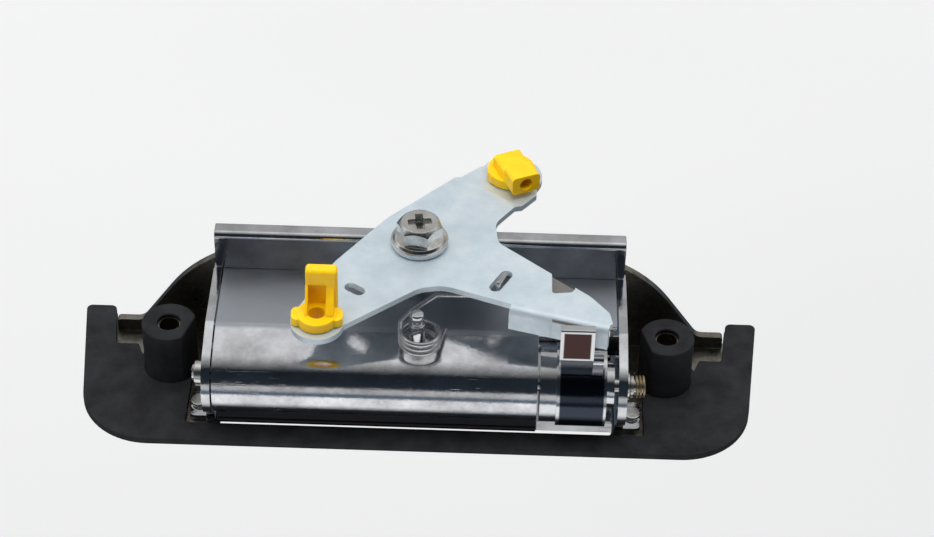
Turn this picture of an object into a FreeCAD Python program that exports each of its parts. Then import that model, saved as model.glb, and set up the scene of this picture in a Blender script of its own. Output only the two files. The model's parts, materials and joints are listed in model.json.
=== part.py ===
import FreeCAD, Part
import os
from math import acos, asin, atan2, cos, degrees, hypot, radians, sin, sqrt, tan

# Tailgate flap handle, drawn as it is mounted on the door.
# +X runs along the handle, +Y points into the door (rear of the handle), +Z is up.
# The origin is midway between the two mounting bosses, on the rear face of the gasket.
# All lengths are in millimetres and all angles in degrees.

Vec = FreeCAD.Vector
X_AXIS = Vec(1, 0, 0)
Y_AXIS = Vec(0, 1, 0)
Z_AXIS = Vec(0, 0, 1)

doc = FreeCAD.newDocument("flap_handle")
sheet = doc.addObject("Spreadsheet::Sheet", "sheet")

DRIVING = [
    # gasket and bezel
    ("gasket_thickness", 1.8), ("bezel_front", 9.0), ("outline_top", 27.0), ("outline_bottom", -21.5),
    ("outline_half_bottom", 87.4), ("outline_half_top", 81.9), ("outline_corner", 18.0),
    ("horn_width", 7.8), ("gasket_inner_half", 57.0), ("gasket_inner_top", 20.7),
    ("bezel_inset", 1.2), ("bezel_bevel", 6.3), ("opening_half", 49.5), ("opening_top", 20.4),
    ("wall_top_face", -14.0), ("wall_thickness", 2.0), ("rim_height", 2.0), ("wing_half", 78.3),
    ("wing_arc_centre", 35.0), ("wing_arc_level", -6.0), ("wing_arc_radius", 34.6), ("window_top", 22.0),
    # mounting bosses
    ("boss_half_spacing", 62.5), ("boss_radius", 4.6), ("boss_height", 13.4), ("insert_radius", 3.6),
    ("insert_length", 13.4), ("thread_radius", 2.55), ("sleeve_radius", 6.9), ("sleeve_height", 14.6),
    ("sleeve_bore", 4.65), ("sleeve_mouth", 2.9), ("sleeve_cut", 5.5), ("sleeve_cut_turn", 18.0),
    # rear cup
    ("cup_half", 49.4), ("cup_wall", 1.5), ("cup_bottom", -13.7), ("ledge_level", 23.4),
    ("ledge_top", 9.3), ("crease_radius", 3.0), ("barrel_radius", 9.3), ("barrel_end", -60.0),
    ("cutout_start", 30.0), ("cutout_bottom", 6.5), ("rail_top", 34.7), ("rail_near", -10.8),
    ("rail_far", -15.1), ("rail_half", 51.4), ("plate_inner", 49.7), ("plate_outer", 51.9),
    ("plate_proud", 0.4), ("foot_outer", 56.2), ("foot_low", 8.5), ("foot_high", 18.0),
    ("rivet_x", 54.2), ("rivet_z", 13.2), ("rivet_radius", 1.5), ("rivet_head", 2.2), ("rivet_crown", 1.1),
    ("stop_level", 6.2), ("stop_z", -5.0), ("stop_radius", 2.4), ("stop_length", 3.0),
    # pivot pin
    ("pin_level", 12.0), ("pin_height", 15.5), ("pin_radius", 2.0), ("pin_bore", 2.05),
    ("pin_end", 56.6), ("pin_head_radius", 3.2), ("pin_head_gauge", 2.4),
    ("pin_washer_radius", 3.4), ("pin_washer_gauge", 0.8), ("retainer_radius", 2.8), ("retainer_gauge", 1.0),
    ("end_coil_mean", 2.45), ("end_coil_wire", 0.7), ("end_coil_pitch", 0.85), ("end_coil_turns", 2.6),
    ("flap_coil_start", -34.0), ("flap_coil_mean", 4.3), ("flap_coil_wire", 1.2), ("flap_coil_pitch", 1.35),
    ("flap_coil_turns", 14.0),
    # flap
    ("flap_half", 48.9), ("flap_thickness", 2.4), ("drum_radius", 12.4), ("flap_edge_level", -9.5),
    ("flap_edge_height", -20.5), ("hub_radius", 10.2), ("collar_radius", 9.4), ("hub_start", 34.6), ("hub_end", 46.8),
    ("lug_start", 34.8), ("lug_end", 43.0), ("lug_near", 24.5), ("lug_thickness", 2.4),
    ("lug_top", 38.0), ("lug_knee", 28.5), ("rib_width", 2.6), ("web_width", 2.0), ("knuckle_radius", 5.6),
    ("knuckle_width", 7.0), ("bush_radius", 3.2), ("skirt_rim", -66.0),
    # bell crank
    ("crank_height", -7.4), ("crank_low", 35.0), ("crank_gauge", 1.6), ("crank_bore", 4.06),
    ("joggle_drop", 1.7), ("left_eye_x", -23.2), ("left_eye_z", 22.3), ("right_eye_x", 22.3),
    ("right_eye_z", -36.9), ("eye_radius", 6.4), ("right_eye_radius", 8.0), ("clip_hole", 3.46),
    ("lip_start_x", 22.9), ("lip_start_z", 14.0), ("lip_end_x", 46.6), ("lip_end_z", 20.4), ("lip_bend", 2.0),
    ("lip_bottom", 30.3), ("dimple_depth", 0.9), ("slot_width", 3.0),
    # crank pivot stack
    ("post_radius", 6.5), ("bushing_radius", 4.0), ("bushing_top", 36.9), ("screw_radius", 2.95),
    ("screw_core", 2.5), ("washer_radius", 6.9), ("washer_gauge", 0.9), ("flange_radius", 7.1),
    ("flange_gauge", 1.4), ("flange_rim", 0.6), ("flange_slope", 1.0), ("head_flats", 10.0), ("head_height", 4.5),
    ("head_turn", 8.0), ("thread_depth", 10.0), ("screw_depth", 9.0), ("recess_length", 5.8),
    ("recess_width", 1.9), ("recess_depth", 2.6), ("recess_centre", 1.6),
    # spring stud, springs and clips
    ("stud_x", 0.3), ("stud_z", 14.0), ("stud_radius", 2.0), ("stud_foot", 19.2), ("stud_top", 32.8),
    ("stud_cap", 1.8), ("stud_neck", 1.4), ("cap_height", 2.0), ("neck_height", 1.2),
    ("spring_wire", 1.3), ("spring_mean", 4.7), ("spring_pitch", 1.45), ("spring_turns", 2.5),
    ("spring_x", 1.0), ("spring_z", 15.2), ("spring_foot", 24.4), ("rod_bore", 2.05),
    ("clip_disc", 4.7), ("closed_disc", 6.0), ("clip_gap", 0.3), ("disc_gauge", 2.5), ("ear_gauge", 2.2),
    ("ear_reach", 6.15), ("ear_half", 2.3), ("clip_stem", 3.4), ("stem_reach", 0.9), ("collar_length", 1.3),
    ("collar_step", 0.8), ("clip_width", 7.6), ("arm_shift", 1.0), ("arm_depth", 3.2), ("arm_top", 50.3),
    ("channel_width", 4.3), ("head_hole", 1.7), ("right_clip_turn", 24.0),
]

for line, (name, value) in enumerate(DRIVING, start=1):
    sheet.set(f"A{line}", name)
    sheet.set(f"B{line}", str(value))
    sheet.setAlias(f"B{line}", name)
doc.recompute()


def val(name):
    """A driving dimension, read back from the sheet."""
    return float(sheet.get(name))


parts = {}


# ---------------------------------------------------------------- outlines

def rounded(corners):
    """Closed outline through corners (x, y, radius), as lines joined by tangent arcs."""
    points = [Vec(c[0], c[1], 0) for c in corners]
    radii = [c[2] if len(c) > 2 else 0.0 for c in corners]
    count = len(points)
    starts = []
    ends = []
    arcs = []
    for i, corner in enumerate(points):
        before = (points[i - 1] - corner).normalize()
        after = (points[(i + 1) % count] - corner).normalize()
        if radii[i] == 0.0:
            starts.append(corner)
            ends.append(corner)
            arcs.append(None)
            continue
        half = before.getAngle(after) / 2.0
        reach = radii[i] / tan(half)
        centre = corner + (before + after).normalize() * (radii[i] / sin(half))
        middle = centre + (corner - centre).normalize() * radii[i]
        starts.append(corner + before * reach)
        ends.append(corner + after * reach)
        arcs.append(Part.Arc(starts[-1], middle, ends[-1]))
    outline = []
    for i in range(count):
        if arcs[i] is not None:
            outline.append(arcs[i])
        leave = ends[i]
        arrive = starts[(i + 1) % count]
        if leave.distanceToPoint(arrive) > 1e-6:
            outline.append(Part.LineSegment(leave, arrive))
    return outline


def circle(x, y, radius):
    return [Part.Circle(Vec(x, y, 0), Vec(0, 0, 1), radius)]


def swapped(corners):
    """Corners given as (height, level, radius) turned into a YZ sketch's own order."""
    return [(c[1], c[0]) + tuple(c[2:]) for c in corners]


def polar(radius, angle):
    """A point (height, level) round the pivot pin; 0 degrees points up."""
    return (val("pin_height") + radius * cos(radians(angle)),
            val("pin_level") + radius * sin(radians(angle)))


# ---------------------------------------------------------------- feature helpers

def new_body(name):
    body = doc.addObject("PartDesign::Body", name)
    body.Label = name
    parts[name] = body
    return body


def sketch(body, name, role, outlines, offset=None):
    """A sketch on one of the body's own origin planes, moved along its normal."""
    drawing = body.newObject("Sketcher::SketchObject", name)
    plane = [o for o in body.Origin.OriginFeatures if o.Role == role][0]
    drawing.AttachmentSupport = [(plane, "")]
    drawing.MapMode = "FlatFace"
    for outline in outlines:
        for edge in outline:
            drawing.addGeometry(edge, False)
    if offset is not None:
        drawing.setExpression("AttachmentOffset.Base.z", offset)
    return drawing


def pad(body, drawing, length, midplane=False, backwards=False):
    feature = body.newObject("PartDesign::Pad", drawing.Name + "_pad")
    feature.Profile = drawing
    feature.Midplane = midplane
    feature.Reversed = backwards
    feature.setExpression("Length", length)
    doc.recompute()
    return feature


def pocket(body, drawing, length, midplane=False, backwards=False):
    before = body.Shape.Volume
    feature = body.newObject("PartDesign::Pocket", drawing.Name + "_cut")
    feature.Profile = drawing
    feature.Midplane = midplane
    feature.Reversed = backwards
    feature.setExpression("Length", length)
    doc.recompute()
    if body.Shape.Volume > before - 0.01:
        raise RuntimeError(f"{drawing.Name} removes nothing")
    return feature


def solid(kind, name, sizes, base=(0, 0, 0), axis=None):
    """A Part primitive whose sizes are expressions; axis turns its own Z to that direction."""
    item = doc.addObject("Part::" + kind, name)
    for prop, expression in sizes.items():
        item.setExpression(prop, str(expression))
    turn = FreeCAD.Rotation() if axis is None else FreeCAD.Rotation(Z_AXIS, axis)
    item.Placement = FreeCAD.Placement(Vec(*base), turn)
    return item


def place(item, **expressions):
    """Binds a primitive's position to the sheet."""
    for letter, expression in expressions.items():
        item.setExpression(f"Placement.Base.{letter}", expression)
    return item


def cut(name, base, tools):
    """Base minus each tool in turn; the last one is the finished sub-part."""
    result = base
    for count, tool in enumerate(tools, start=1):
        last = count == len(tools)
        step = doc.addObject("Part::Cut", name if last else f"{name}_step{count}")
        step.Base = result
        step.Tool = tool
        result = step
    result.Label = name
    parts[name] = result


def feature(name, shape):
    """A sub-part whose shape is built directly from the sheet's values."""
    item = doc.addObject("Part::Feature", name)
    item.Shape = shape
    item.Label = name
    parts[name] = item
    return item


def prism_along_y(outlines, low, high):
    """Solid between two levels from outlines drawn in (x, height); later outlines are holes."""
    wires = []
    for outline in outlines:
        flat = Part.Wire([edge.toShape() for edge in outline])
        wires.append(flat)
    face = Part.Face(wires)
    block = face.extrude(Vec(0, 0, high - low))
    # drawing plane (x, y) with normal z is stood up so that y becomes height and z becomes depth
    block.rotate(Vec(0, 0, 0), X_AXIS, 90)
    block.translate(Vec(0, high, 0))
    return block


def rod(points, radius):
    """Round wire along straight runs, with a ball at each turn."""
    pieces = []
    for first, second in zip(points[:-1], points[1:]):
        run = second - first
        pieces.append(Part.makeCylinder(radius, run.Length, first, run))
    for point in points[1:-1]:
        pieces.append(Part.makeSphere(radius, point))
    joined = pieces[0]
    for piece in pieces[1:]:
        joined = joined.fuse(piece)
    return joined


def coil(radius, pitch, turns, wire, base, axis, left_handed=False):
    """Close-wound round wire helix, its own z axis turned to the given axis."""
    path = Part.Wire(Part.makeHelix(pitch, pitch * turns, radius, 0.0, left_handed).Edges)
    section = Part.Wire([Part.Circle(Vec(radius, 0, 0), Y_AXIS, wire / 2.0).toShape()])
    spring = path.makePipeShell([section], True, True)
    spring.Placement = FreeCAD.Placement(base, FreeCAD.Rotation(Z_AXIS, axis))
    return spring


# ---------------------------------------------------------------- gasket and bezel

def outer_corners(inset, foot=0.0):
    """The handle's outline: slightly tapered sides and two round upper corners."""
    top = val("outline_top") - inset
    bottom = val("outline_bottom") + inset
    low = val("outline_half_bottom") - inset
    high = val("outline_half_top") - inset
    corner = val("outline_corner") - inset
    return [(low, bottom, foot), (high, top, corner), (-high, top, corner), (-low, bottom, foot)]


def both_sides(right):
    """Corners of the right side followed by their mirror images."""
    left = [(-c[0], c[1]) + tuple(c[2:]) for c in reversed(right)]
    return right + left


def make_gasket():
    body = new_body("gasket")
    inner = val("gasket_inner_half")
    horn_inner = val("outline_half_bottom") - val("horn_width")
    notch = [(inner, val("gasket_inner_top"), 1.0), (inner, -6.6), (68.4, -6.6, 1.5),
             (70.6, -3.4), (72.0, -7.2, 0.8), (77.8, -7.2, 1.0), (horn_inner, -21.5, 1.5)]
    low, high = outer_corners(0, foot=1.5)[:2]
    right_half = [high, low] + list(reversed(notch))
    outline = sketch(body, "gasket_outline", "XZ_Plane", [rounded(both_sides(right_half))])
    pad(body, outline, "sheet.gasket_thickness")
    centre = val("boss_half_spacing")
    rings = [circle(side * centre, 0, val("sleeve_radius") + 0.1) for side in (-1, 1)]
    holes = sketch(body, "gasket_sleeve_holes", "XZ_Plane", rings)
    pocket(body, holes, "sheet.gasket_thickness", backwards=True)
    corners = []
    for side in (-1, 1):
        corners.append(rounded([(side * 50, -8.0), (side * centre, -8.0), (side * centre, 0), (side * 50, 0)]))
    relief = sketch(body, "gasket_inner_relief", "XZ_Plane", corners)
    pocket(body, relief, "sheet.gasket_thickness", backwards=True)


def half_moon_corners():
    """The lower wall: low rims at the ends, wings that rise in an arc, and the finger window."""
    centre = val("wing_arc_centre")
    level = val("wing_arc_level")
    radius = val("wing_arc_radius")
    rim = val("rim_height")
    low = -val("gasket_thickness")
    slope = radians(34.6)
    shoulder_x = centre + radius * cos(slope)
    shoulder_y = level + radius * sin(slope)
    foot_x = shoulder_x + (shoulder_y - rim) * tan(slope)
    # the arc from the flat top to the shoulder is the rounding of one corner
    crown = level + radius
    turn = radians(90) - slope
    apex_x = centre + radius * tan(turn / 2)
    window = val("opening_half") - 0.2
    return both_sides([(window, val("window_top"), 12.0), (window, low), (val("wing_half"), low),
                       (val("wing_half"), rim, 1.0), (foot_x, rim, 3.0), (apex_x, crown, radius - 0.01)])


def make_bezel():
    body = new_body("bezel")
    plate = sketch(body, "bezel_outline", "XZ_Plane", [rounded(outer_corners(val("bezel_inset")))],
                   "sheet.gasket_thickness")
    slab = pad(body, plate, "sheet.bezel_front - sheet.gasket_thickness")
    front = -val("bezel_front")
    rim = []
    for number, edge in enumerate(body.Shape.Edges, start=1):
        box = edge.BoundBox
        on_front = abs(box.YMin - front) < 1e-4 and abs(box.YMax - front) < 1e-4
        if on_front and box.Center.z > val("outline_bottom") + 5.0:
            rim.append(f"Edge{number}")
    bevel = body.newObject("PartDesign::Chamfer", "bezel_front_bevel")
    bevel.Base = (slab, rim)
    bevel.setExpression("Size", "sheet.bezel_bevel")
    doc.recompute()
    half = val("opening_half")
    top = val("opening_top")
    opening = rounded([(half, -30), (half, top, 4.0), (-half, top, 4.0), (-half, -30)])
    hole = sketch(body, "bezel_opening", "XZ_Plane", [opening])
    pocket(body, hole, "4 * sheet.bezel_front", midplane=True)
    legs = []
    for side in (-1, 1):
        legs.append(rounded([(side * (half - 2), -22.5), (side * (half - 2), -16.0), (side * 79.3, -16.0),
                             (side * 79.3, -22.5)]))
    relief = sketch(body, "bezel_rear_relief", "XZ_Plane", legs)
    pocket(body, relief, "6.2", backwards=True)
    wall = sketch(body, "half_moon_wall", "XY_Plane", [rounded(half_moon_corners())], "sheet.wall_top_face")
    pad(body, wall, "sheet.wall_thickness", backwards=True)
    posts = [circle(side * val("boss_half_spacing"), 0, val("boss_radius")) for side in (-1, 1)]
    bosses = sketch(body, "bosses", "XZ_Plane", posts, "sheet.gasket_thickness")
    pad(body, bosses, "sheet.boss_height + sheet.gasket_thickness", backwards=True)
    wells = [circle(side * val("boss_half_spacing"), 0, val("insert_radius")) for side in (-1, 1)]
    seats = sketch(body, "insert_seats", "XZ_Plane", wells, "-sheet.boss_height")
    pocket(body, seats, "sheet.insert_length", backwards=True)


# ---------------------------------------------------------------- mounting bosses

def make_mounts():
    for side, word in ((-1, "left"), (1, "right")):
        x = f"{side} * sheet.boss_half_spacing"
        skin = place(solid("Cylinder", f"{word}_sleeve_skin",
                           {"Radius": "sheet.sleeve_radius",
                            "Height": "sheet.sleeve_height + sheet.gasket_thickness"}, axis=Y_AXIS),
                     x=x, y="-sheet.gasket_thickness")
        bore = place(solid("Cylinder", f"{word}_sleeve_bore",
                           {"Radius": "sheet.sleeve_bore",
                            "Height": "sheet.boss_height + sheet.gasket_thickness"}, axis=Y_AXIS),
                     x=x, y="-sheet.gasket_thickness")
        mouth = place(solid("Cylinder", f"{word}_sleeve_mouth",
                            {"Radius": "sheet.sleeve_mouth", "Height": "2 * sheet.sleeve_height"},
                            axis=Y_AXIS), x=x)
        # the flat that faces the cup leaves a strip of the boss showing
        facing = val("sleeve_cut_turn") if side < 0 else 180.0 - val("sleeve_cut_turn")
        slab = Part.makeBox(6, 40, 12, Vec(val("sleeve_cut"), -10, -6))
        slab.rotate(Vec(0, 0, 0), Y_AXIS, -facing)
        slab.translate(X_AXIS * (side * val("boss_half_spacing")))
        flat = doc.addObject("Part::Feature", f"{word}_sleeve_flat")
        flat.Shape = slab
        cut(f"{word}_sleeve", skin, [bore, mouth, flat])
        shell = place(solid("Cylinder", f"{word}_insert_shell",
                            {"Radius": "sheet.insert_radius", "Height": "sheet.insert_length"}, axis=Y_AXIS),
                      x=x, y="sheet.boss_height - sheet.insert_length")
        thread = place(solid("Cylinder", f"{word}_insert_thread",
                             {"Radius": "sheet.thread_radius", "Height": "sheet.insert_length"}, axis=Y_AXIS),
                       x=x, y="sheet.boss_height - sheet.insert_length")
        cut(f"{word}_threaded_insert", shell, [thread])


# ---------------------------------------------------------------- rear cup

def slope_geometry(proud):
    """Tangent point angle and slope run of the cup's sloped side, for a skin standing proud."""
    radius = val("barrel_radius") + proud
    rise = val("ledge_level") - val("pin_level")
    run = val("ledge_top") - val("pin_height")
    base = val("barrel_radius")
    distance = hypot(rise, run)
    touch = degrees(atan2(rise, run) - acos(base / distance))
    turn = touch - val("barrel_end")
    reach = radius * tan(radians(turn / 2))
    start = polar(radius, touch)
    corner = (start[0] + reach * sin(radians(touch)), start[1] - reach * cos(radians(touch)))
    level = val("ledge_level") + proud
    along = (level - start[1]) / cos(radians(touch))
    crease = (start[0] - along * sin(radians(touch)), level)
    return crease, corner, polar(radius, val("barrel_end"))


def make_cup():
    body = new_body("rear_cup")
    wall = val("cup_wall")
    outer_crease, outer_corner, outer_end = slope_geometry(0.0)
    inner_crease, inner_corner, inner_end = slope_geometry(-wall)
    bottom = val("cup_bottom")
    level = val("ledge_level")
    corners = [(bottom, level), outer_crease + (val("crease_radius"),),
               outer_corner + (val("barrel_radius"),), outer_end, inner_end,
               inner_corner + (val("barrel_radius") - wall,),
               inner_crease + (val("crease_radius") - wall,), (bottom, level - wall)]
    profile = sketch(body, "cup_profile", "YZ_Plane", [rounded(swapped(corners))])
    pad(body, profile, "2 * sheet.cup_half", midplane=True)
    start = val("cutout_start")
    far = val("cutout_bottom")
    gap = rounded([(start, far, 2.0), (60, far), (60, 40), (start, 40)])
    cutout = sketch(body, "hub_cutout", "XZ_Plane", [gap], "-40")
    pocket(body, cutout, "80", backwards=True)
    stud = sketch(body, "stud_hole", "XZ_Plane", [circle(val("stud_x"), val("stud_z"), val("stud_radius"))], "-40")
    pocket(body, stud, "sheet.stud_top", backwards=True)


def make_rail():
    body = new_body("cup_rail")
    level = val("ledge_level")
    near = val("rail_near")
    top = val("rail_top")
    wall = val("cup_wall")
    corners = [(val("cup_bottom"), level), (near, level, 0.6), (near, top, 1.6), (val("rail_far"), top),
               (val("rail_far"), top - wall), (near - wall, top - wall, 0.4), (near - wall, level + wall, 0.6),
               (val("cup_bottom"), level + wall)]
    profile = sketch(body, "rail_profile", "YZ_Plane", [rounded(swapped(corners))])
    pad(body, profile, "2 * sheet.rail_half", midplane=True)


def make_end_plates():
    crease, corner, end = slope_geometry(val("plate_proud"))
    floor = -val("gasket_thickness")
    radius = val("barrel_radius") + val("plate_proud")
    for side, word in ((-1, "left"), (1, "right")):
        body = new_body(f"{word}_end_plate")
        under_rail = val("ledge_level") - 0.1
        beside_rail = val("rail_near") + 0.3
        corners = [(val("cup_bottom"), under_rail), (beside_rail, under_rail), (beside_rail, crease[1]),
                   crease + (3.4,), corner + (radius,), end, (18.6, 1.0, 1.0), (18.6, floor),
                   (val("cup_bottom"), floor)]
        profile = sketch(body, f"{word}_plate_profile", "YZ_Plane", [rounded(swapped(corners))],
                         f"{side} * sheet.plate_inner")
        pad(body, profile, "sheet.plate_outer - sheet.plate_inner", backwards=side < 0)
        inner = side * val("plate_outer") - side * 0.5
        outer = side * val("foot_outer")
        low = val("foot_low")
        high = val("foot_high")
        tab = rounded([(inner, low), (outer, low, 1.5), (outer, high, 1.5), (inner, high)])
        foot = sketch(body, f"{word}_foot", "XZ_Plane", [tab], "sheet.gasket_thickness")
        pad(body, foot, "sheet.cup_wall", backwards=True)
        rivet_x = side * val("rivet_x")
        rivet_z = val("rivet_z")
        hole = sketch(body, f"{word}_rivet_hole", "XZ_Plane", [circle(rivet_x, rivet_z, val("rivet_radius"))],
                      "sheet.gasket_thickness")
        pocket(body, hole, "sheet.cup_wall")
        bore = circle(val("pin_level"), val("pin_height"), val("pin_radius") + 0.02)
        pivot = sketch(body, f"{word}_pin_hole", "YZ_Plane", [bore])
        pocket(body, pivot, "200", midplane=True)
        stem = place(solid("Cylinder", f"{word}_rivet_stem",
                           {"Radius": "sheet.rivet_radius", "Height": "sheet.cup_wall"},
                           (rivet_x, 0, rivet_z), Y_AXIS),
                     y="-sheet.gasket_thickness")
        head = place(solid("Cylinder", f"{word}_rivet_dome",
                           {"Radius": "sheet.rivet_head", "Height": "sheet.rivet_crown"},
                           (rivet_x, 0, rivet_z), Y_AXIS), y="sheet.cup_wall - sheet.gasket_thickness")
        rivet = doc.addObject("Part::Fuse", f"{word}_rivet")
        rivet.Base = stem
        rivet.Tool = head
        rivet.Label = f"{word}_rivet"
        parts[f"{word}_rivet"] = rivet
        stop = place(solid("Cylinder", f"{word}_stop",
                           {"Radius": "sheet.stop_radius", "Height": "sheet.stop_length"}, axis=X_AXIS * -side),
                     x=f"{side} * sheet.plate_inner", y="sheet.stop_level", z="sheet.stop_z")
        stop.Label = f"{word}_stop"
        parts[f"{word}_stop"] = stop


# ---------------------------------------------------------------- pivot pin

def make_pin():
    head_gap = 0.1
    shank = solid("Cylinder", "pin_shank", {"Radius": "sheet.pin_radius", "Height": "2 * sheet.pin_end - 1.5"},
                  axis=X_AXIS)
    head = solid("Cylinder", "pin_head", {"Radius": "sheet.pin_head_radius", "Height": "sheet.pin_head_gauge"},
                 axis=X_AXIS)
    place(shank, x="-sheet.pin_end + 1.5", y="sheet.pin_level", z="sheet.pin_height")
    place(head, x=f"-sheet.plate_outer - {head_gap} - sheet.pin_head_gauge", y="sheet.pin_level",
          z="sheet.pin_height")
    pin = doc.addObject("Part::Fuse", "pivot_pin")
    pin.Base = shank
    pin.Tool = head
    pin.Label = "pivot_pin"
    parts["pivot_pin"] = pin
    start = f"sheet.plate_outer + {head_gap}"
    ring("pin_washer", start, "sheet.pin_washer_radius", "sheet.pin_washer_gauge", "sheet.pin_radius")
    start = f"sheet.plate_outer + {head_gap} + sheet.pin_washer_gauge + 0.05"
    ring("pin_retainer", start, "sheet.retainer_radius", "sheet.retainer_gauge", "sheet.pin_radius")
    wire = val("end_coil_wire")
    beyond = head_gap + val("pin_washer_gauge") + val("retainer_gauge") + 0.1 + wire / 2
    coil_start = Vec(val("plate_outer") + beyond, val("pin_level"), val("pin_height"))
    feature("pin_end_spring", coil(val("end_coil_mean"), val("end_coil_pitch"), val("end_coil_turns"), wire,
                                   coil_start, X_AXIS))
    spring_start = Vec(val("flap_coil_start"), val("pin_level"), val("pin_height"))
    feature("flap_spring", coil(val("flap_coil_mean"), val("flap_coil_pitch"), val("flap_coil_turns"),
                                val("flap_coil_wire"), spring_start, X_AXIS))


def ring(name, start, radius, length, bore):
    """Plain ring round the pivot pin's axis."""
    shell = solid("Cylinder", name + "_shell", {"Radius": radius, "Height": length}, axis=X_AXIS)
    hole = solid("Cylinder", name + "_hole", {"Radius": bore, "Height": length}, axis=X_AXIS)
    for item in (shell, hole):
        place(item, x=start, y="sheet.pin_level", z="sheet.pin_height")
    cut(name, shell, [hole])


# ---------------------------------------------------------------- flap

def flap_skin(rim_angle):
    """Side view of the flap: sloped panel, finger lip, and skirt curved round the pin."""
    edge = (val("flap_edge_height"), val("flap_edge_level"))
    outer = val("drum_radius")
    inner = outer - val("flap_thickness")
    away = (edge[0] - val("pin_height"), edge[1] - val("pin_level"))
    distance = hypot(*away)
    touch = degrees(atan2(away[1], away[0]) + acos(outer / distance))
    turn = radians(rim_angle - touch)
    corner_out = outer / cos(turn / 2)
    corner_in = inner / cos(turn / 2)
    middle = touch + (rim_angle - touch) / 2
    start = polar(inner, touch)
    slope = (cos(radians(touch + 90)), sin(radians(touch + 90)))
    along = (edge[0] + 2.4 - start[0]) / slope[0]
    inside = (edge[0] + 2.4, start[1] + along * slope[1])
    return [edge + (1.0,), polar(corner_out, middle) + (outer,), polar(outer, rim_angle),
            polar(inner, rim_angle), polar(corner_in, middle) + (inner,), inside + (0.8,),
            (edge[0] + 2.4, -3.8, 1.0), (edge[0], -3.8, 1.0)]


def make_flap():
    body = new_body("flap")
    skin = sketch(body, "flap_skin", "YZ_Plane", [rounded(swapped(flap_skin(val("skirt_rim"))))])
    pad(body, skin, "2 * sheet.flap_half", midplane=True)
    bead_profile = [(18.6, 0.1), (20.58, 0.1, 0.2), (20.3, 1.4, 0.3), (19.4, 2.4)]
    bead = sketch(body, "skirt_bead", "YZ_Plane", [rounded(swapped(bead_profile))], "-sheet.flap_half")
    pad(body, bead, "sheet.flap_half + sheet.cutout_start")
    level = val("pin_level")
    height = val("pin_height")
    hub = sketch(body, "flap_hub", "YZ_Plane", [circle(level, height, val("hub_radius"))], "sheet.hub_start")
    pad(body, hub, "sheet.hub_end - sheet.hub_start")
    collar = sketch(body, "hub_collar", "YZ_Plane", [circle(level, height, val("collar_radius"))],
                    "sheet.cutout_start + 0.6")
    pad(body, collar, "sheet.hub_end - sheet.cutout_start - 0.6")
    near = val("lug_near")
    far = near - val("lug_thickness")
    knee = val("lug_knee")
    lug_profile = [(height - 2.0, level + 5.0), (height + 4.5, level + 5.0), (near, knee, 2.5),
                   (near, val("lug_top"), 0.5), (far, val("lug_top"), 0.5), (far, knee + 0.8, 1.5)]
    lug = sketch(body, "lug", "YZ_Plane", [rounded(swapped(lug_profile))], "sheet.lug_start")
    pad(body, lug, "sheet.lug_end - sheet.lug_start")
    rib_profile = [(height - 2.0, level + 5.0), (height + 5.0, level + 4.0), (near - 1.0, knee - 1.0, 1.5),
                   (near - 4.0, knee - 0.5, 1.5)]
    rib = sketch(body, "lug_rib", "YZ_Plane", [rounded(swapped(rib_profile))], "sheet.lug_end")
    pad(body, rib, "sheet.rib_width")
    web_profile = [(-17.5, -7.2), (-12.0, 0.6, 3.0), (4.0, 6.5, 4.0), (12.0, 17.0), (16.0, 12.0),
                   (14.2, 4.0, 1.0), (14.2, 0.0)]
    for side, word in ((-1, "left"), (1, "right")):
        start = "sheet.flap_half - sheet.web_width" if side > 0 else "-sheet.flap_half"
        web = sketch(body, f"{word}_web", "YZ_Plane", [rounded(swapped(web_profile))], start)
        pad(body, web, "sheet.web_width")
    knuckle = sketch(body, "left_knuckle", "YZ_Plane", [circle(level, height, val("knuckle_radius"))],
                     "-sheet.flap_half")
    pad(body, knuckle, "sheet.knuckle_width")
    end_boss = sketch(body, "right_knuckle", "YZ_Plane", [circle(level, height, val("knuckle_radius"))],
                      "sheet.hub_end")
    pad(body, end_boss, "sheet.flap_half - sheet.hub_end")
    bore = sketch(body, "flap_bore", "YZ_Plane", [circle(level, height, val("bush_radius"))])
    pocket(body, bore, "200", midplane=True)
    ring("left_hub_bush", "-sheet.flap_half", "sheet.bush_radius", "sheet.knuckle_width", "sheet.pin_bore")
    ring("right_hub_bush", "sheet.cutout_start + 0.6", "sheet.bush_radius",
         "sheet.flap_half - sheet.cutout_start - 0.6", "sheet.pin_bore")


# ---------------------------------------------------------------- bell crank and its pivot

def lip_frame():
    """Start, direction and length of the folded lip's bend line, and the way its face looks."""
    start = Vec(val("lip_start_x"), 0, val("lip_start_z"))
    run = Vec(val("lip_end_x"), 0, val("lip_end_z")) - start
    along = Vec(run).normalize()
    outward = Vec(-along.z, 0, along.x)
    return start, along, outward, run.Length


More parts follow.
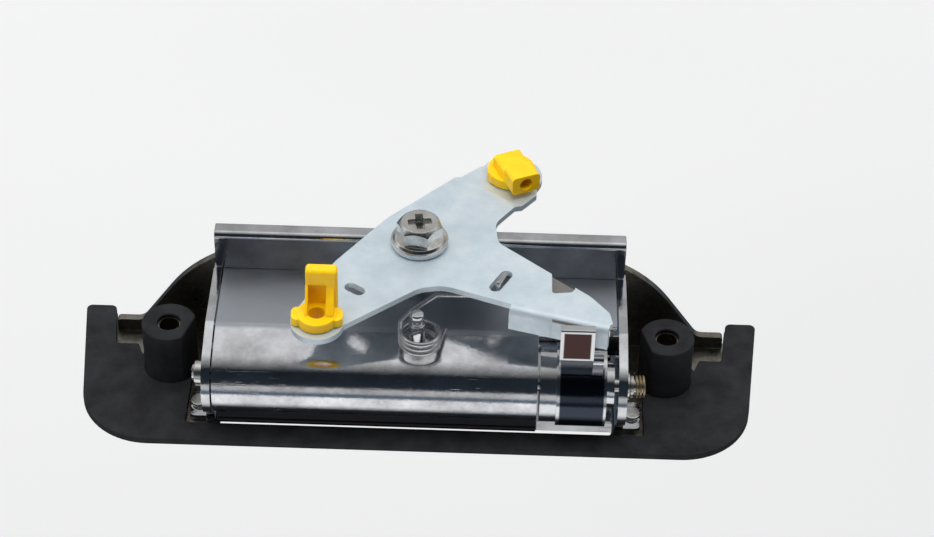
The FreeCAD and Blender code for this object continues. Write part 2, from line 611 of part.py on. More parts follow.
def make_crank():
    low = val("crank_low")
    gauge = val("crank_gauge")
    high = low + gauge
    left = (val("left_eye_x"), val("left_eye_z"))
    right = (val("right_eye_x"), val("right_eye_z"))
    main = [(8.0, -33.6), (-8.6, -16.6, 10.0), (-20.6, 0.6, 16.0), (-29.2, 20.0), (-22.0, 27.5),
            (0.6, 9.2, 7.0), (6.5, 8.0, 9.0), (val("lip_start_x"), val("lip_start_z")),
            (val("lip_end_x"), val("lip_end_z")), (47.2, 20.0), (46.6, 16.2, 2.5),
            (42.0, 10.4, 8.0), (19.4, -8.6, 4.0), (18.6, -16.0, 5.0), (23.4, -22.6)]
    dimple = rounded([(32.7, 0.0), (32.7, 9.7, 0.8), (38.0, 9.0, 1.6), (40.0, 0.0)])
    plate = prism_along_y([rounded(main)], low, high)
    plate = plate.fuse(prism_along_y([circle(left[0], left[1], val("eye_radius"))], low, high))
    plate = plate.cut(prism_along_y([dimple], high - val("dimple_depth"), high + 1))
    for start, end in (((-16.0, 9.6), (-13.9, 11.0)), ((19.0, 8.1), (21.6, 3.4))):
        plate = plate.cut(slot(start, end, val("slot_width"), low - 1, high + 1))
    # outer part of the upper arm, one drop nearer the door skin, and the bend that joins it
    drop = val("joggle_drop")
    arm = [(9.6, -36.0), (25.2, -25.0), (28.9, -29.6), (29.0, -38.0), (14.6, -40.6)]
    outer = prism_along_y([rounded(arm)], low - drop, high - drop)
    eye = prism_along_y([circle(right[0], right[1], val("right_eye_radius"))], low - drop, high - drop)
    plate = plate.fuse(outer).fuse(eye).fuse(joggle(low, gauge, drop))
    plate = plate.fuse(lip(low, gauge))
    bore = Part.makeCylinder(val("crank_bore"), 10, Vec(0, low - 5, val("crank_height")), Y_AXIS)
    plate = plate.cut(bore)
    for x, z in (left, right):
        plate = plate.cut(Part.makeCylinder(val("clip_hole"), 20, Vec(x, low - 10, z), Y_AXIS))
    feature("bell_crank", plate.removeSplitter())


def slot(start, end, width, low, high):
    """Round-ended slot between two centres, as a cutting tool."""
    first = Vec(start[0], low, start[1])
    last = Vec(end[0], low, end[1])
    run = last - first
    radius = width / 2.0
    ends = Part.makeCylinder(radius, high - low, first, Y_AXIS)
    ends = ends.fuse(Part.makeCylinder(radius, high - low, last, Y_AXIS))
    side = Vec(-run.z, 0, run.x).normalize() * radius
    corners = [first + side, last + side, last - side, first - side, first + side]
    middle = Part.Face(Part.makePolygon(corners)).extrude(Y_AXIS * (high - low))
    return ends.fuse(middle)


def joggle(low, gauge, drop):
    """The slanted strip that steps the upper arm down by one drop."""
    inner = (Vec(8.0, 0, -33.6), Vec(23.4, 0, -22.6), low)
    outer = (Vec(9.6, 0, -36.0), Vec(25.2, 0, -25.0), low - drop)
    sections = []
    for near, far, level in (inner, outer):
        under = Y_AXIS * level
        over = Y_AXIS * (level + gauge)
        sections.append(Part.makePolygon([near + under, far + under, far + over, near + over, near + under]))
    return Part.makeLoft(sections, True, True)


def lip(low, gauge):
    """The edge folded towards the front, which the flap's lug pushes."""
    start, along, outward, length = lip_frame()
    bend = val("lip_bend")
    inner = bend - gauge
    top = low + gauge
    diagonal = sin(radians(45))

    def at(reach, level):
        return start + outward * reach + Y_AXIS * level

    side = [at(0, top), at(bend, top - bend), at(bend, val("lip_bottom")), at(inner, val("lip_bottom")),
            at(inner, low - inner), at(0, low)]
    outer_middle = at(bend * diagonal, top - bend + bend * diagonal)
    inner_middle = at(inner * diagonal, low - inner + inner * diagonal)
    edges = [Part.Arc(side[0], outer_middle, side[1]).toShape(), Part.makeLine(side[1], side[2]),
             Part.makeLine(side[2], side[3]), Part.makeLine(side[3], side[4]),
             Part.Arc(side[4], inner_middle, side[5]).toShape(), Part.makeLine(side[5], side[0])]
    return Part.Face(Part.Wire(edges)).extrude(along * length)


def make_crank_pivot():
    z = "sheet.crank_height"
    post = solid("Cylinder", "post_round", {"Radius": "sheet.post_radius",
                                            "Height": "sheet.rail_top - sheet.ledge_level"}, axis=Y_AXIS)
    place(post, y="sheet.ledge_level", z=z)
    flat = solid("Box", "post_flat", {"Length": "20", "Width": "20", "Height": "20"}, (-10, 20, 0))
    place(flat, z="sheet.rail_near + 0.3 - 20")
    thread = solid("Cylinder", "post_thread", {"Radius": "sheet.screw_core", "Height": "sheet.thread_depth"},
                   axis=Y_AXIS)
    place(thread, y="sheet.rail_top - sheet.thread_depth", z=z)
    cut("crank_post", post, [flat, thread])
    sleeve = solid("Cylinder", "bushing_round", {"Radius": "sheet.bushing_radius",
                                                 "Height": "sheet.bushing_top - sheet.rail_top"}, axis=Y_AXIS)
    hole = solid("Cylinder", "bushing_bore", {"Radius": "sheet.screw_radius",
                                              "Height": "sheet.bushing_top - sheet.rail_top"}, axis=Y_AXIS)
    for item in (sleeve, hole):
        place(item, y="sheet.rail_top", z=z)
    cut("crank_bushing", sleeve, [hole])
    disc = solid("Cylinder", "washer_disc", {"Radius": "sheet.washer_radius", "Height": "sheet.washer_gauge"},
                 axis=Y_AXIS)
    eye = solid("Cylinder", "washer_bore", {"Radius": "sheet.screw_radius + 0.05",
                                            "Height": "sheet.washer_gauge"}, axis=Y_AXIS)
    for item in (disc, eye):
        place(item, y="sheet.bushing_top", z=z)
    cut("crank_washer", disc, [eye])
    make_screw()


def make_screw():
    """Hexagon flange screw with a cross recess."""
    centre = Vec(0, 0, val("crank_height"))
    seat = val("bushing_top") + val("washer_gauge")
    rim_height = val("flange_rim")
    top = seat + val("flange_gauge") + val("head_height")

    def level(height):
        return centre + Y_AXIS * height

    wide = val("flange_radius")
    flange = Part.makeCone(wide, wide - val("flange_slope"), val("flange_gauge"), level(seat), Y_AXIS)
    rim = Part.makeCylinder(wide, rim_height, level(seat), Y_AXIS)
    corner = val("head_flats") / sqrt(3.0)
    points = []
    for k in range(7):
        angle = radians(60 * k + val("head_turn"))
        points.append(level(seat + rim_height) + Vec(corner * cos(angle), 0, corner * sin(angle)))
    hexagon = Part.Face(Part.makePolygon(points)).extrude(Y_AXIS * (top - seat - rim_height))
    # a cone over the hexagon rounds off its upper corners
    crown_height = 3.2
    crown = Part.makeCone(corner + 1.9, corner - 1.3, crown_height, level(top - crown_height), Y_AXIS)
    skirt = Part.makeCylinder(corner + 1.9, top - crown_height - seat, level(seat), Y_AXIS)
    head = hexagon.common(crown.fuse(skirt))
    foot = val("rail_top")
    shank = Part.makeCylinder(val("screw_radius"), seat - foot, level(foot), Y_AXIS)
    core = Part.makeCylinder(val("screw_core"), val("screw_depth"), level(foot - val("screw_depth")), Y_AXIS)
    screw = flange.fuse(rim).fuse(head).fuse(shank).fuse(core)
    long = val("recess_length")
    wide = val("recess_width")
    deep = val("recess_depth")
    for turn in (0, 90):
        blade = Part.makeBox(long, deep, wide, Vec(-long / 2, 0, -wide / 2))
        blade.rotate(Vec(0, 0, 0), Y_AXIS, val("head_turn") + turn)
        blade.translate(level(top - deep))
        screw = screw.cut(blade)
    screw = screw.cut(Part.makeCylinder(val("recess_centre"), deep, level(top - deep), Y_AXIS))
    feature("crank_screw", screw.removeSplitter())


def make_stud_and_spring():
    centre = Vec(val("stud_x"), 0, val("stud_z"))
    foot = val("stud_foot")
    top = val("stud_top")
    under_cap = top - val("cap_height")
    neck = under_cap - val("neck_height")
    stem = Part.makeCylinder(val("stud_radius"), neck - foot, centre + Y_AXIS * foot, Y_AXIS)
    groove = Part.makeCylinder(val("stud_neck"), val("neck_height"), centre + Y_AXIS * neck, Y_AXIS)
    cap = Part.makeCylinder(val("stud_cap"), val("cap_height"), centre + Y_AXIS * under_cap, Y_AXIS)
    cap = cap.makeChamfer(0.4, [e for e in cap.Edges if abs(e.BoundBox.YMin - top) < 1e-4
                                and abs(e.BoundBox.YMax - top) < 1e-4])
    feature("spring_stud", stem.fuse(groove).fuse(cap))
    wire = val("spring_wire")
    mean = val("spring_mean")
    x = val("spring_x")
    z = val("spring_z")
    low = val("spring_foot")
    high = low + val("spring_pitch") * val("spring_turns")
    winding = coil(mean, val("spring_pitch"), val("spring_turns"), wire, Vec(x, low, z), Y_AXIS, True)
    # the working leg passes behind the stud, under the crank and up through its slot
    leg = rod([Vec(x - mean, high, z), Vec(x - mean, high + 0.6, 13.0), Vec(-1.2, 29.8, 10.2),
               Vec(4.8, 33.4, 7.9), Vec(19.6, 33.8, 8.0), Vec(19.6, 37.7, 8.0), Vec(21.2, 37.7, 4.3)], wire / 2)
    anchor = rod([Vec(x + mean, low, z), Vec(x + mean + 1.2, low, z - 4.7)], wire / 2)
    feature("crank_spring", winding.fuse(leg).fuse(anchor))


# ---------------------------------------------------------------- rod clips

def clip_base(disc_radius, seat):
    """Disc with two ears above the crank, stem through it and snap collar below it."""
    reach = val("ear_reach")
    half = val("ear_half")
    stem_radius = val("clip_stem")
    stem_foot = seat - val("crank_gauge") - val("stem_reach")
    collar_foot = stem_foot - val("collar_length")
    disc = Part.makeCylinder(disc_radius, val("disc_gauge"), Vec(0, seat, 0), Y_AXIS)
    ears = rounded([(-reach, -half, 1.6), (reach, -half, 1.6), (reach, half, 1.6), (-reach, half, 1.6)])
    bar = prism_along_y([ears], seat, seat + val("ear_gauge"))
    stem = Part.makeCylinder(stem_radius, seat - stem_foot, Vec(0, stem_foot, 0), Y_AXIS)
    collar = Part.makeCone(stem_radius, stem_radius + val("collar_step"), val("collar_length"),
                           Vec(0, collar_foot, 0), Y_AXIS)
    return disc.fuse(bar).fuse(stem).fuse(collar)


def rod_hole(low, high):
    return Part.makeCylinder(val("rod_bore"), high - low, Vec(0, low, 0), Y_AXIS)


def make_left_clip():
    """Open clip: its arm stands upright behind the disc, with a channel that leads to the eye."""
    seat = val("crank_low") + val("crank_gauge") + val("clip_gap")
    half = val("clip_width") / 2
    shift = val("arm_shift")
    top = val("arm_top")
    low = seat + 1.0
    near = -2.4
    arm = Part.makeBox(2 * half, top - low, val("arm_depth"), Vec(shift - half, low, near - val("arm_depth")))
    arm = arm.makeFillet(0.9, [e for e in arm.Edges if e.BoundBox.YLength > 5
                               or abs(e.BoundBox.YMin - top) < 1e-4])
    # cheeks on both sides of the channel slope down to the disc
    ramp = [Vec(0, low, near - 1.0), Vec(0, low, 1.4), Vec(0, seat + 3.4, 1.4), Vec(0, seat + 8.5, near),
            Vec(0, seat + 8.5, near - 1.0)]
    cheeks = Part.Face(Part.makePolygon(ramp + [ramp[0]])).extrude(X_AXIS * (2 * half - 0.8))
    cheeks.translate(X_AXIS * (shift * 0.6 - half + 0.4))
    clip = clip_base(val("clip_disc"), seat).fuse(cheeks).fuse(arm)
    width = val("channel_width")
    channel = Part.makeBox(width, 6.6, 6.0, Vec(-width / 2, seat + val("disc_gauge"), near - 1.2))
    clip = clip.cut(channel).cut(rod_hole(seat - 10, seat + val("disc_gauge")))
    clip.translate(Vec(val("left_eye_x"), 0, val("left_eye_z")))
    feature("left_rod_clip", clip.removeSplitter())


def make_right_clip():
    """Closed clip: its arm is folded over the eye and its hooked end overhangs the near side."""
    seat = val("crank_low") + val("crank_gauge") + val("clip_gap") - val("joggle_drop")
    width = val("clip_width")
    cover = seat + val("ear_gauge")
    clip = clip_base(val("closed_disc"), seat)
    fold = Part.makeBox(width, 3.2, 9.4, Vec(-width / 2, cover, -3.0))
    fold = fold.makeFillet(1.2, [e for e in fold.Edges if e.BoundBox.ZLength > 5
                                 and e.BoundBox.YMin > cover + 3.0])
    clip = clip.fuse(fold)
    head_low = seat + 1.5
    head = Part.makeBox(width, 5.2, 5.4, Vec(-width / 2, head_low, 4.0))
    head = head.makeFillet(1.1, [e for e in head.Edges if e.BoundBox.ZLength > 5])
    clip = clip.fuse(head)
    clip = clip.cut(Part.makeCylinder(val("head_hole"), 5.0, Vec(0, head_low + 2.6, 5.0), Z_AXIS))
    clip = clip.cut(rod_hole(seat - 10, cover))
    clip.rotate(Vec(0, 0, 0), Y_AXIS, val("right_clip_turn"))
    clip.translate(Vec(val("right_eye_x"), 0, val("right_eye_z")))
    feature("right_rod_clip", clip.removeSplitter())


# ---------------------------------------------------------------- build, check and export

make_gasket()
make_bezel()
make_mounts()
make_cup()
make_rail()
make_end_plates()
make_pin()
make_flap()
make_crank()
make_crank_pivot()
make_stud_and_spring()
make_left_clip()
make_right_clip()
doc.recompute()

for item in doc.Objects:
    if "Invalid" in item.State or "Error" in item.State:
        raise RuntimeError(f"{item.Name} failed: {item.State}")
os.makedirs("parts", exist_ok=True)
for name, item in parts.items():
    shape = item.Shape
    if shape.isNull() or not shape.isValid():
        raise RuntimeError(f"{name} has no valid shape")
    box = shape.BoundBox
    print(f"{name:22s} solids {len(shape.Solids)} volume {shape.Volume:9.1f} "
          f"x {box.XMin:7.1f} {box.XMax:7.1f} y {box.YMin:6.1f} {box.YMax:6.1f} z {box.ZMin:6.1f} {box.ZMax:6.1f}")
    shape.exportStep(f"parts/{name}.step")
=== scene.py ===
import bpy
import json
from math import cos, pi, radians, sin
from mathutils import Matrix, Vector


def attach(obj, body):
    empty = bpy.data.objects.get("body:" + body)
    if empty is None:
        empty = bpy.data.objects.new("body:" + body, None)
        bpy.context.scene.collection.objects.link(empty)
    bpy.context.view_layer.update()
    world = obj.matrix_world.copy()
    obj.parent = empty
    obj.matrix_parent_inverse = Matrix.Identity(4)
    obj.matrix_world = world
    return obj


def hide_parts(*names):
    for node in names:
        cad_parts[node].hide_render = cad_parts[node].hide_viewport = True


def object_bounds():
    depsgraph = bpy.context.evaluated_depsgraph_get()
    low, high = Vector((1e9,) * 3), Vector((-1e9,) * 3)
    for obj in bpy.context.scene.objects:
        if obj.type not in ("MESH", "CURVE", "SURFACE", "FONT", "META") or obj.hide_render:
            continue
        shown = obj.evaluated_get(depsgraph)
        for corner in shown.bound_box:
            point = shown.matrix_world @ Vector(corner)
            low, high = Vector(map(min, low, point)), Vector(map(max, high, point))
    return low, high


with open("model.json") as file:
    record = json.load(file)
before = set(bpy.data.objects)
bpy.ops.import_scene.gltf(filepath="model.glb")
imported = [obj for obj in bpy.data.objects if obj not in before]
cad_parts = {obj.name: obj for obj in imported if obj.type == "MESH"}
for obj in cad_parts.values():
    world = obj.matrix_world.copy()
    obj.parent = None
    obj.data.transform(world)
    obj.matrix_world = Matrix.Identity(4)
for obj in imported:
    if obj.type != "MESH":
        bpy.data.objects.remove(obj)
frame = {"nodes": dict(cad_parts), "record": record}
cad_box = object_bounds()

MM = 0.001
OBJECT_BOTTOM = cad_box[0][2]

body_of_node = {}
for body, members in frame["record"]["behaviour"]["bodies"].items():
    for member in members:
        body_of_node[member] = body
slot_of_node = {entry["node"]: entry["material_slot"] for entry in frame["record"]["subparts"]}


# ---------------------------------------------------------------- camera, floor and light

CAMERA_PLACE = (0.01579, 0.42260, 0.44242)
CAMERA_TILT = radians(41.2)    # from straight down towards the front of the handle
CAMERA_TURN = radians(0.5)     # about the axis that runs into the door
CAMERA_ROLL = radians(1.45)    # about the line of sight
CAMERA_LENS = 92.5
CAMERA_SENSOR = 36.0
NEAR_LIMIT = 0.01

FLOOR_SIZE = 4.0
FLOOR_DROP = 0.09              # room between the handle and the floor
FLOOR_COLOUR = (0.42, 0.42, 0.42, 1)
FLOOR_ROUGHNESS = 0.9
FLOOR_GLOW_COLOUR = (1.0, 1.0, 1.0, 1)
FLOOR_GLOW = 0.62

# What the plating reflects, as (degrees about the handle's length, brightness): 0 is straight up, 90 is
# straight behind the handle and -90 is straight in front of it.
REFLECTED_BANDS = (
    (-180, 0.10), (-75, 0.05), (-55, 0.95), (-25, 1.00), (-20, 0.14), (-12, 0.16), (-6, 0.55), (6, 0.60),
    (12, 0.03), (56, 0.02), (78, 0.35), (98, 0.75), (114, 0.88), (126, 0.50), (150, 0.46), (180, 0.30),
)
DIM_BAND = 0.2                 # bands no brighter than this are tinted cool
COOL_TINT = 1.35
BACKDROP_COLOUR = (0.887, 0.887, 0.887, 1)

SOFTBOXES = (
    {"name": "top_softbox", "place": (0.05, 0.75, 0.05), "size": (0.7, 0.5), "watts": 5.0},
    {"name": "side_softbox", "place": (-0.6, 0.45, 0.35), "size": (0.4, 0.4), "watts": 2.0},
)


def camera():
    """Looks at the back of the handle from behind and above, over its upper edge."""
    across = Vector((cos(CAMERA_TURN), 0.0, -sin(CAMERA_TURN)))
    ahead = Vector((-sin(CAMERA_TURN) * cos(CAMERA_TILT), -sin(CAMERA_TILT),
                    -cos(CAMERA_TURN) * cos(CAMERA_TILT)))
    upward = across.cross(ahead)
    right = across * cos(CAMERA_ROLL) + upward * sin(CAMERA_ROLL)
    up = upward * cos(CAMERA_ROLL) - across * sin(CAMERA_ROLL)
    bpy.ops.object.camera_add()
    eye = bpy.context.object
    eye.name = "studio_camera"
    facing = Matrix((right, up, -ahead)).transposed().to_4x4()
    eye.matrix_world = Matrix.Translation(CAMERA_PLACE) @ facing
    eye.data.lens = CAMERA_LENS
    eye.data.sensor_width = CAMERA_SENSOR
    eye.data.clip_start = NEAR_LIMIT
    bpy.context.scene.camera = eye


def floor():
    """A plain pale floor well below the handle."""
    bpy.ops.mesh.primitive_plane_add(size=FLOOR_SIZE, location=(0, 0, OBJECT_BOTTOM - FLOOR_DROP))
    ground = bpy.context.object
    ground.name = "studio_floor"
    pale = bpy.data.materials.new("studio_floor_paint")
    pale.use_nodes = True
    shader = pale.node_tree.nodes["Principled BSDF"]
    set_inputs(shader, {
        "Base Color": FLOOR_COLOUR, "Roughness": FLOOR_ROUGHNESS, "Specular IOR Level": 0.0,
        "Emission Color": FLOOR_GLOW_COLOUR, "Emission Strength": FLOOR_GLOW,
    })
    ground.data.materials.append(pale)
    ground.visible_glossy = False


def studio_world():
    """Bands of light and dark for the plating to reflect, and an even backdrop for the camera."""
    world = bpy.data.worlds.new("studio")
    bpy.context.scene.world = world
    world.use_nodes = True
    tree = world.node_tree
    tree.nodes.clear()
    where = tree.nodes.new("ShaderNodeTexCoord")
    split = tree.nodes.new("ShaderNodeSeparateXYZ")
    angle = tree.nodes.new("ShaderNodeMath")
    angle.operation = "ARCTAN2"
    turn = tree.nodes.new("ShaderNodeMapRange")
    set_inputs(turn, {"From Min": -pi, "From Max": pi})
    ramp = tree.nodes.new("ShaderNodeValToRGB")
    stops = ramp.color_ramp.elements
    for number, (degree, level) in enumerate(REFLECTED_BANDS):
        place = (degree + 180.0) / 360.0
        stop = stops[number] if number < 2 else stops.new(place)
        stop.position = place
        cool = 1.0 if level > DIM_BAND else COOL_TINT
        stop.color = (level / cool, level, level * cool, 1)
    background = tree.nodes.new("ShaderNodeBackground")
    set_inputs(background, {"Strength": 1.0})
    plain = tree.nodes.new("ShaderNodeBackground")
    set_inputs(plain, {"Color": BACKDROP_COLOUR})
    ray = tree.nodes.new("ShaderNodeLightPath")
    mix = tree.nodes.new("ShaderNodeMixShader")
    out = tree.nodes.new("ShaderNodeOutputWorld")
    for source, target in (
        (where.outputs["Generated"], split.inputs[0]),
        (split.outputs["Y"], angle.inputs[0]),
        (split.outputs["Z"], angle.inputs[1]),
        (angle.outputs[0], turn.inputs["Value"]),
        (turn.outputs["Result"], ramp.inputs["Fac"]),
        (ramp.outputs["Color"], background.inputs["Color"]),
        (ray.outputs["Is Camera Ray"], mix.inputs[0]),
        (background.outputs[0], mix.inputs[1]),
        (plain.outputs[0], mix.inputs[2]),
        (mix.outputs[0], out.inputs["Surface"]),
    ):
        tree.links.new(source, target)


def softbox(name, place, size, watts):
    """A rectangular lamp that faces the handle and doesn't show in the plating."""
    bpy.ops.object.light_add(type="AREA", location=place)
    lamp = bpy.context.object
    lamp.name = name
    lamp.data.shape = "RECTANGLE"
    lamp.data.size, lamp.data.size_y = size
    lamp.data.energy = watts
    lamp.visible_glossy = False
    lamp.rotation_euler = (-Vector(place)).to_track_quat("-Z", "Y").to_euler()


# ---------------------------------------------------------------- building blocks for shaders

def set_inputs(node, values):
    """Sets a node's unlinked inputs by name."""
    for label, value in values.items():
        node.inputs[label].default_value = value


def feed(tree, socket, value):
    """Gives a socket a fixed number or the output of another node."""
    if isinstance(value, (int, float)):
        socket.default_value = value
    else:
        tree.links.new(value, socket)


def new_group(name, inputs, outputs):
    """An empty node group with number sockets only."""
    tree = bpy.data.node_groups.new(name, "ShaderNodeTree")
    for label, value in inputs.items():
        socket = tree.interface.new_socket(name=label, in_out="INPUT", socket_type="NodeSocketFloat")
        socket.default_value = value
    for label in outputs:
        tree.interface.new_socket(name=label, in_out="OUTPUT", socket_type="NodeSocketFloat")
    return tree, tree.nodes.new("NodeGroupInput"), tree.nodes.new("NodeGroupOutput")


def use_group(tree, group, values):
    """Places a shared node group with its own settings."""
    node = tree.nodes.new("ShaderNodeGroup")
    node.node_tree = group
    set_inputs(node, values)
    return node


def maths(tree, operation, first, second):
    """The result of one sum, product or comparison."""
    node = tree.nodes.new("ShaderNodeMath")
    node.operation = operation
    feed(tree, node.inputs[0], first)
    feed(tree, node.inputs[1], second)
    return node.outputs[0]


def noise(tree, vector, scale, detail, roughness):
    """Cloudy noise from 0 to 1."""
    node = tree.nodes.new("ShaderNodeTexNoise")
    set_inputs(node, {"Detail": detail, "Roughness": roughness})
    tree.links.new(vector, node.inputs["Vector"])
    feed(tree, node.inputs["Scale"], scale)
    return node.outputs["Fac"]


def stretched(tree, value, start=0.0, end=1.0, low=0.0, high=1.0):
    """The range from start to end spread over low to high, and held flat outside it."""
    node = tree.nodes.new("ShaderNodeMapRange")
    set_inputs(node, {"From Min": start, "From Max": end, "To Min": low, "To Max": high})
    tree.links.new(value, node.inputs["Value"])
    return node.outputs["Result"]


def object_place(tree):
    """Position in the object's own coordinates, which move with it."""
    return tree.nodes.new("ShaderNodeTexCoord").outputs["Object"]


def blend_node(tree, factor):
    """A colour mix led by a mask, whose two colours are still to be given."""
    node = tree.nodes.new("ShaderNodeMix")
    node.data_type = "RGBA"
    tree.links.new(factor, node.inputs["Factor"])
    return node


# ---------------------------------------------------------------- shared surface effects

CLOUD_RANGE = (0.35, 0.68)      # noise levels at which mottling begins and is full
PIT_RANGE = (0.58, 0.74)
PIT_HEIGHT, CLOUD_HEIGHT = 0.6, 0.4
SCRATCH_SETS = ((0.35, 0.0), (-0.9, 3.1))    # direction in radians, and an offset so they differ
SCRATCH_STRETCH = (90, 90, 2600)
SCRATCH_RANGE = (0.66, 0.72)
SCRATCHED_AREA_SCALE = 70.0
SCRATCHED_AREA_RANGE = (0.45, 0.62)
SCRATCH_ROUGHNESS, PIT_ROUGHNESS = 0.25, 0.12
SCRATCH_DEPTH = 0.4


def make_grain_group():
    """Cloudy mottling and fine pits, as plating and moulded skins have them."""
    tree, given, out = new_group("surface grain", {"Cloud Scale": 60.0, "Pit Scale": 900.0},
                                 ("Cloud", "Pits", "Height"))
    where = object_place(tree)
    cloud = noise(tree, where, given.outputs["Cloud Scale"], detail=5.0, roughness=0.6)
    pits = noise(tree, where, given.outputs["Pit Scale"], detail=3.0, roughness=0.65)
    height = maths(tree, "ADD", maths(tree, "MULTIPLY", pits, PIT_HEIGHT),
                   maths(tree, "MULTIPLY", cloud, CLOUD_HEIGHT))
    tree.links.new(stretched(tree, cloud, *CLOUD_RANGE), out.inputs["Cloud"])
    tree.links.new(stretched(tree, pits, *PIT_RANGE), out.inputs["Pits"])
    tree.links.new(height, out.inputs["Height"])
    return tree


def make_scratch_group():
    """Short hairline scratches lying in two directions."""
    tree, given, out = new_group("hairline scratches", {"Amount": 0.5}, ("Scratches",))
    where = object_place(tree)
    total = None
    for angle, offset in SCRATCH_SETS:
        mapping = tree.nodes.new("ShaderNodeMapping")
        set_inputs(mapping, {"Location": (offset, offset, 0), "Rotation": (0, angle, 0),
                             "Scale": SCRATCH_STRETCH})
        tree.links.new(where, mapping.inputs["Vector"])
        line = noise(tree, mapping.outputs["Vector"], 1.0, detail=2.0, roughness=0.5)
        mask = stretched(tree, line, *SCRATCH_RANGE)
        total = mask if total is None else maths(tree, "MAXIMUM", total, mask)
    area = stretched(tree, noise(tree, where, SCRATCHED_AREA_SCALE, detail=2.0, roughness=0.5),
                     *SCRATCHED_AREA_RANGE)
    marks = maths(tree, "MULTIPLY", total, area)
    tree.links.new(maths(tree, "MULTIPLY", marks, given.outputs["Amount"]), out.inputs["Scratches"])
    return tree


def make_patch_group():
    """Soft-edged box across the part in X and Y, inside which the finish is recoloured: painted shade and
    painted dark reflections on the flap and bell crank, a rougher grey strip on the rear cup.
    """
    tree, given, out = new_group(
        "painted shade and finish box", {"X Low": 0.0, "X High": 0.1, "Y Low": 0.0, "Y High": 0.1, "Edge": 0.0003},
        ("Mask",))
    split = tree.nodes.new("ShaderNodeSeparateXYZ")
    tree.links.new(object_place(tree), split.inputs[0])
    total = None
    for axis in ("X", "Y"):
        rise = maths(tree, "SUBTRACT", split.outputs[axis], given.outputs[axis + " Low"])
        fall = maths(tree, "SUBTRACT", given.outputs[axis + " High"], split.outputs[axis])
        depth = maths(tree, "DIVIDE", maths(tree, "MINIMUM", rise, fall), given.outputs["Edge"])
        total = depth if total is None else maths(tree, "MINIMUM", total, depth)
    tree.links.new(stretched(tree, total), out.inputs["Mask"])
    return tree


GRAIN = make_grain_group()
SCRATCHES = make_scratch_group()
PATCH = make_patch_group()


# ---------------------------------------------------------------- finishes

def finish(name, light, dark, metallic, smooth, worn, cloud_scale, pit_scale, bump, scratches,
           relief=0.05, shader_inputs=None, patches=()):
    """Colour and roughness wander between two values, with pits and hairlines on top.

    light and dark are the two colours and smooth and worn the two roughnesses; relief is the
    height of the bumps in millimetres.
    """
    material = bpy.data.materials.new(name)
    material.use_nodes = True
    tree = material.node_tree
    shader = tree.nodes["Principled BSDF"]
    grain = use_group(tree, GRAIN, {"Cloud Scale": cloud_scale, "Pit Scale": pit_scale})
    lines = use_group(tree, SCRATCHES, {"Amount": scratches}).outputs["Scratches"]

    blend = blend_node(tree, grain.outputs["Cloud"])
    set_inputs(blend, {"A": (*dark, 1), "B": (*light, 1)})
    colour = blend.outputs["Result"]
    rough = stretched(tree, grain.outputs["Cloud"], low=worn, high=smooth)
    rough = maths(tree, "ADD", rough, maths(tree, "MULTIPLY", lines, SCRATCH_ROUGHNESS))
    rough = maths(tree, "ADD", rough, maths(tree, "MULTIPLY", grain.outputs["Pits"], PIT_ROUGHNESS))
    for patch in patches:
        colour, rough = patched(tree, colour, rough, **patch)

    bumps = tree.nodes.new("ShaderNodeBump")
    set_inputs(bumps, {"Strength": bump, "Distance": relief * MM})
    height = maths(tree, "SUBTRACT", grain.outputs["Height"], maths(tree, "MULTIPLY", lines, SCRATCH_DEPTH))
    tree.links.new(height, bumps.inputs["Height"])

    tree.links.new(colour, shader.inputs["Base Color"])
    tree.links.new(rough, shader.inputs["Roughness"])
    tree.links.new(bumps.outputs["Normal"], shader.inputs["Normal"])
    set_inputs(shader, {"Metallic": metallic, **(shader_inputs or {})})
    return material


def patched(tree, colour, rough, x, y, tint, matt=0.0):
    """Recolours and roughens the finish inside a box; x and y are its ends in millimetres."""
    box = use_group(tree, PATCH, {"X Low": x[0] * MM, "X High": x[1] * MM,
                                  "Y Low": y[0] * MM, "Y High": y[1] * MM})
    mask = box.outputs["Mask"]
    blend = blend_node(tree, mask)
    set_inputs(blend, {"B": (*tint, 1)})
    tree.links.new(colour, blend.inputs["A"])
    return blend.outputs["Result"], maths(tree, "ADD", rough, maths(tree, "MULTIPLY", mask, matt))


